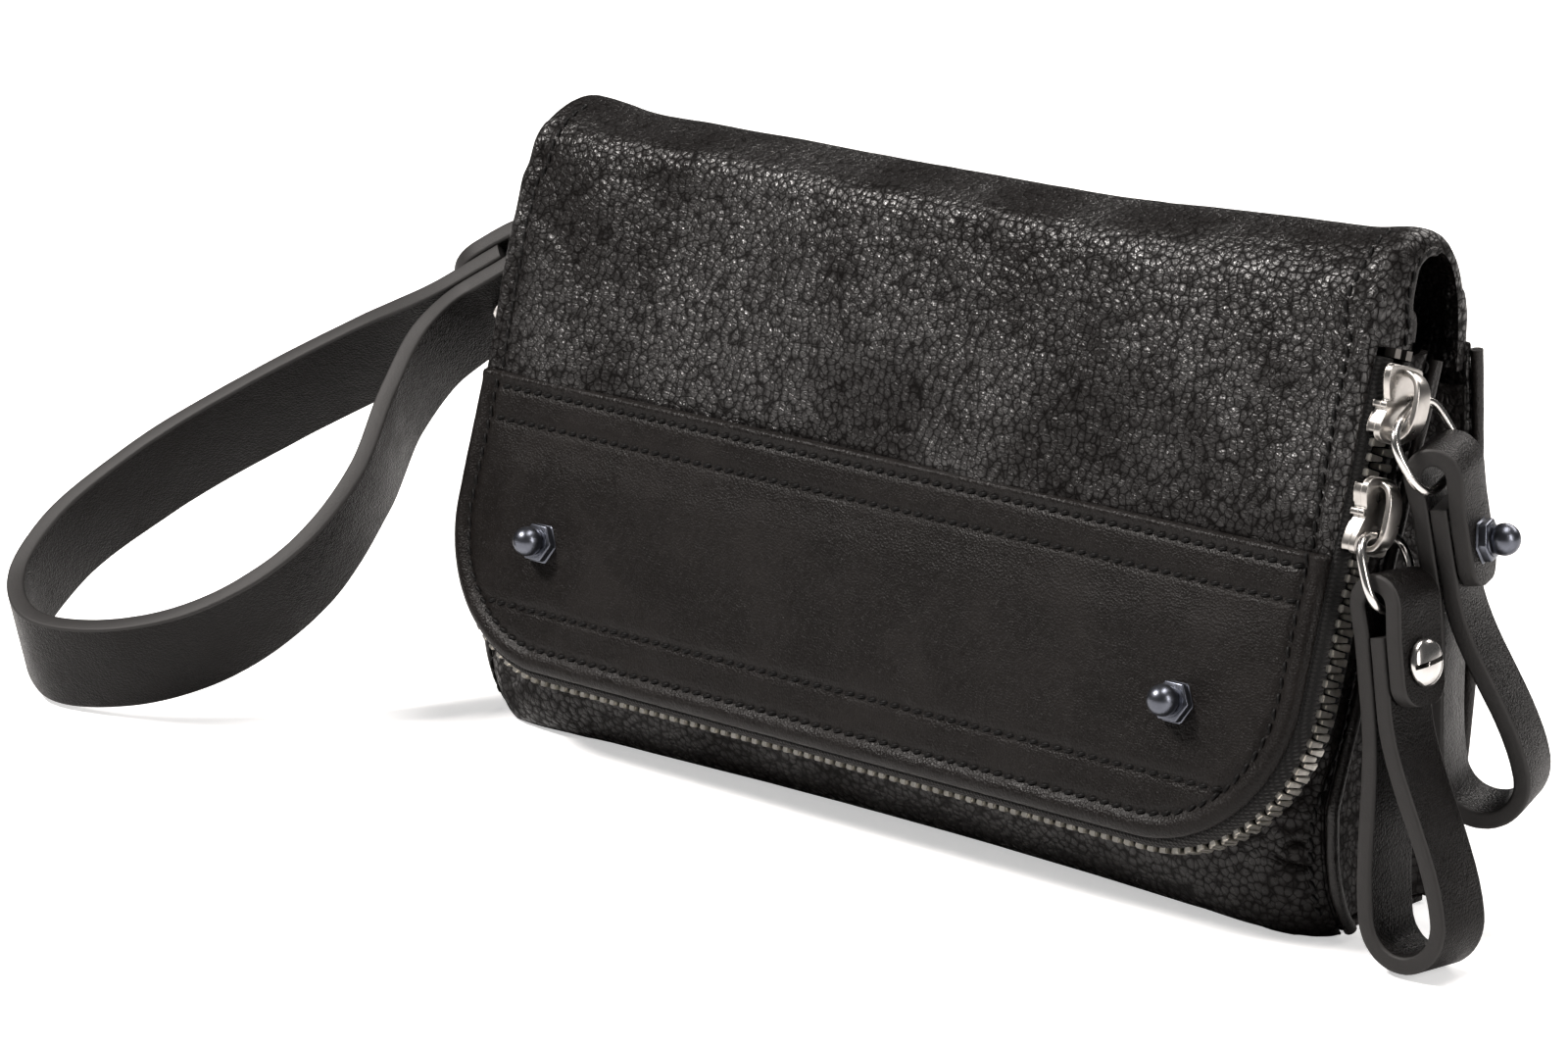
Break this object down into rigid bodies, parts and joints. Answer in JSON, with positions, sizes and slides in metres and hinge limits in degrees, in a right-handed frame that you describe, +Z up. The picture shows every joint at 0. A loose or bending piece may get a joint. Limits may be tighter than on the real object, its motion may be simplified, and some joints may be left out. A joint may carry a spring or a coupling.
{
  "type": "wristlet wallet",
  "caption": "leather wristlet wallet with a U-shaped zip round its front flap, two zip sliders with leather loop pulls, ball studs and a wrist strap",
  "frame": {"origin": "on the table under the middle of the base", "axes": "+X across the width towards the zip pulls, +Y from the flap towards the back, +Z up"},
  "size_m": [0.3129, 0.1007, 0.117],
  "materials": {
    "lining": "black woven lining",
    "pebbled_leather": "pebbled near-black leather",
    "smooth_leather": "smooth near-black leather with a low sheen",
    "antique_silver": "antique silver plate, worn bright on the edges",
    "zip_tape": "black woven tape",
    "inner_leather": "thin matte leather",
    "fibre_board": "plain leather board inside the flap",
    "gunmetal": "dark polished plate",
    "strap_leather": "smooth dark leather with cut edges",
    "nickel": "polished nickel plate"
  },
  "bodies": {
    "body": {"back_lining": "lining", "back_panel": "pebbled_leather", "back_piping_left": "smooth_leather", "back_piping_right": "smooth_leather", "base_panel": "pebbled_leather", "body_zip_stop_left": "antique_silver", "body_zip_stop_right": "antique_silver", "body_zip_tape": "zip_tape", "body_zip_teeth": "antique_silver", "card_pocket_left_1": "inner_leather", "card_pocket_left_2": "inner_leather", "card_pocket_left_3": "inner_leather", "card_pocket_right_1": "inner_leather", "card_pocket_right_2": "inner_leather", "card_pocket_right_3": "inner_leather", "divider": "inner_leather", "front_panel": "pebbled_leather", "front_piping_left": "smooth_leather", "front_piping_right": "smooth_leather", "gusset_left": "pebbled_leather", "gusset_right": "pebbled_leather", "strap_tab": "strap_leather", "top_fold": "pebbled_leather"},
    "flap": {"flap_band": "smooth_leather", "flap_board": "fibre_board", "flap_edge_binding": "smooth_leather", "flap_lining": "lining", "flap_panel": "pebbled_leather", "flap_stud_left": "gunmetal", "flap_stud_nut_left": "gunmetal", "flap_stud_nut_right": "gunmetal", "flap_stud_right": "gunmetal", "flap_zip_stop_left": "antique_silver", "flap_zip_stop_right": "antique_silver", "flap_zip_tape": "zip_tape", "flap_zip_teeth": "antique_silver"},
    "upper_slider": {"upper_slider": "antique_silver"},
    "upper_ring": {"upper_ring": "nickel"},
    "upper_pull": {"upper_pull": "strap_leather", "upper_pull_stud": "gunmetal", "upper_pull_nut": "gunmetal"},
    "lower_slider": {"lower_slider": "antique_silver"},
    "lower_ring": {"lower_ring": "nickel"},
    "lower_pull": {"lower_pull": "strap_leather", "lower_pull_screw": "nickel", "lower_pull_nut": "nickel"},
    "strap_ring": {"strap_ring": "nickel"},
    "wrist_strap": {"wrist_strap": "strap_leather", "strap_screw": "nickel", "strap_nut": "nickel"}
  },
  "joints": [
    {"name": "flap_hinge", "type": "hinge", "parent": "body", "child": "flap", "pos_m": [0, -0.00743, 0.1015], "axis": [-1, 0, 0], "range_deg": [0, 150]},
    {"name": "upper_slide", "type": "slide", "parent": "body", "child": "upper_slider", "axis": [0, 0.297, 0.9549], "range_m": [-0.0005, 0.0006]},
    {"name": "upper_ring_swing", "type": "hinge", "parent": "upper_slider", "child": "upper_ring", "pos_m": [0.1048, -0.00566, 0.09068], "axis": [0.1895, -0.9398, -0.2843], "range_deg": [0, 70]},
    {"name": "upper_pull_swing", "type": "hinge", "parent": "upper_ring", "child": "upper_pull", "pos_m": [0.10966, -0.00122, 0.07924], "axis": [0.3063, -0.9483, -0.0834], "range_deg": [0, 14]},
    {"name": "lower_slide", "type": "slide", "parent": "body", "child": "lower_slider", "axis": [0, 0.297, 0.9549], "range_m": [-0.022, 0.0004]},
    {"name": "lower_ring_swing", "type": "hinge", "parent": "lower_slider", "child": "lower_ring", "pos_m": [0.1043, -0.01178, 0.07101], "axis": [0.0995, -0.9742, 0.2025], "range_deg": [0, 2]},
    {"name": "lower_pull_swing", "type": "hinge", "parent": "lower_ring", "child": "lower_pull", "pos_m": [0.10953, -0.01374, 0.05905], "axis": [0, -0.9976, 0.0698], "range_deg": [0, 7]},
    {"name": "strap_ring_swing", "type": "hinge", "parent": "body", "child": "strap_ring", "pos_m": [-0.10533, 0.01233, 0.0856], "axis": [-0.0451, 0.7909, -0.6102], "range_deg": [0, 40]},
    {"name": "wrist_strap_swing", "type": "hinge", "parent": "strap_ring", "child": "wrist_strap", "pos_m": [-0.1113, 0.0086, 0.0812], "axis": [-0.0451, 0.7909, -0.6102], "range_deg": [0, 50]}
  ]
}
